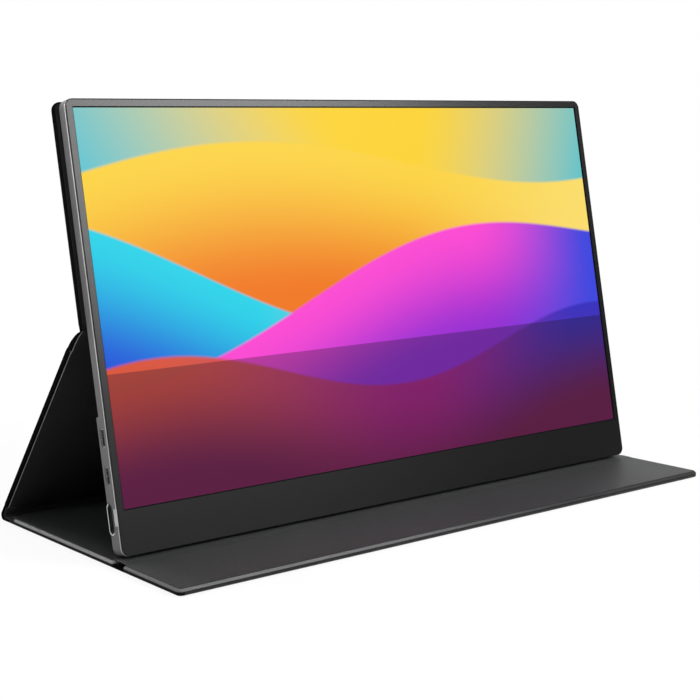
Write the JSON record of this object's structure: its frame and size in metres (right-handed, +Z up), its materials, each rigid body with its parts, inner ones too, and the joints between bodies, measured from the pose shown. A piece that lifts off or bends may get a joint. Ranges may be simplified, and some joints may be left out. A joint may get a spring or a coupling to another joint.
{
  "type": "portable monitor",
  "caption": "Slim portable monitor held by magnets on a folding leather cover whose back panel, leg and base panels form a stand; sockets on one side, keys and jack on the other.",
  "frame": {"origin": "centre of the overall box at table height, under the middle of the whole object", "axes": "+X to the viewer's right along the screen's width, -Y toward the viewer in front of the screen, +Z up"},
  "size_m": [0.358, 0.1804, 0.2208],
  "materials": {
    "housing": "fine matt grey moulded shell",
    "bezel": "satin dark grey frame",
    "tape": "black adhesive film",
    "screen": "lit screen, satin front film, showing a plain colour wash",
    "film": "translucent optical film",
    "guide": "clear acrylic sheet",
    "reflector": "white film",
    "led": "white lamps on a strip",
    "tray": "folded bright sheet",
    "circuit_board": "green solder mask",
    "flex": "amber flex film",
    "chip": "black moulded package",
    "can": "tinned sheet",
    "socket_metal": "drawn bright shell",
    "socket_tongue": "black moulded tongue",
    "socket_trim": "bright turned rim",
    "jack": "black moulded jack",
    "key": "satin grey keys",
    "speaker": "black speaker box",
    "magnet": "nickel plated magnet",
    "screw": "blackened steel",
    "cover_skin": "black fine grained coated leather, edges turned in",
    "cover_board": "pressed fibre board",
    "cover_lining": "dark grey fine grained lining",
    "fold": "black flexible fold, same leather"
  },
  "bodies": {
    "monitor": {"rear_shell": "housing", "front_bezel": "bezel", "bezel_tape": "tape", "lcd_cell": "screen", "optical_films": "film", "light_guide": "guide", "reflector_sheet": "reflector", "led_bar": "led", "panel_tray": "tray", "panel_driver_board": "circuit_board", "main_board": "circuit_board", "side_board": "circuit_board", "driver_tabs": "flex", "display_flex": "flex", "side_flex": "flex", "board_chips": "chip", "key_switches": "chip", "shield_can": "can", "usb_c_socket_upper": "socket_metal", "usb_c_socket_lower": "socket_metal", "mini_hdmi_socket": "socket_metal", "socket_tongues": "socket_tongue", "socket_bezel": "socket_trim", "audio_jack": "jack", "speaker_left": "speaker", "speaker_right": "speaker", "holding_magnets": "magnet", "hold_panel_magnets": "magnet", "case_screws": "screw", "board_screws": "screw", "hold_panel_skin": "cover_skin", "hold_panel_board": "cover_board", "hold_panel_lining": "cover_lining"},
    "leg_panel": {"leg_skin": "cover_skin", "leg_board": "cover_board", "leg_lining": "cover_lining", "crease_strip": "fold"},
    "rear_base": {"rear_base_skin": "cover_skin", "rear_base_board": "cover_board", "rear_base_lining": "cover_lining", "corner_strip": "fold"},
    "front_base": {"front_base_skin": "cover_skin", "front_base_board": "cover_board", "front_base_lining": "cover_lining", "groove_strip": "fold"},
    "power_key": {"power_button": "key"},
    "rocker_key": {"menu_rocker": "key"}
  },
  "joints": [
    {"name": "leg_fold", "type": "hinge", "parent": "monitor", "child": "leg_panel", "pos_m": [0, -0.00626, 0.10975], "axis": [-1, 0, 0], "range_deg": [0, 49], "deforming": ["crease_strip"]},
    {"name": "base_fold", "type": "hinge", "parent": "leg_panel", "child": "rear_base", "pos_m": [0, 0.08935, 0.0018], "axis": [1, 0, 0], "range_deg": [0, 130], "deforming": ["corner_strip"]},
    {"name": "front_fold", "type": "hinge", "parent": "rear_base", "child": "front_base", "pos_m": [0, -0.03845, 0.0025], "axis": [-1, 0, 0], "range_deg": [0, 95], "deforming": ["groove_strip"]},
    {"name": "power_press", "type": "slide", "parent": "monitor", "child": "power_key", "axis": [-1, 0, 0], "range_m": [0, 0.0005], "stiffness_N_per_m": 400, "springref_m": -0.001},
    {"name": "rocker_tilt", "type": "hinge", "parent": "monitor", "child": "rocker_key", "pos_m": [0.17288, -0.0223, 0.04154], "axis": [0, 0.9826, -0.1857], "range_deg": [-3, 3], "stiffness_Nm_per_rad": 0.05}
  ],
  "couplings": [
    {"joint": "base_fold", "follows": "leg_fold", "ratio": 2.6531}
  ]
}
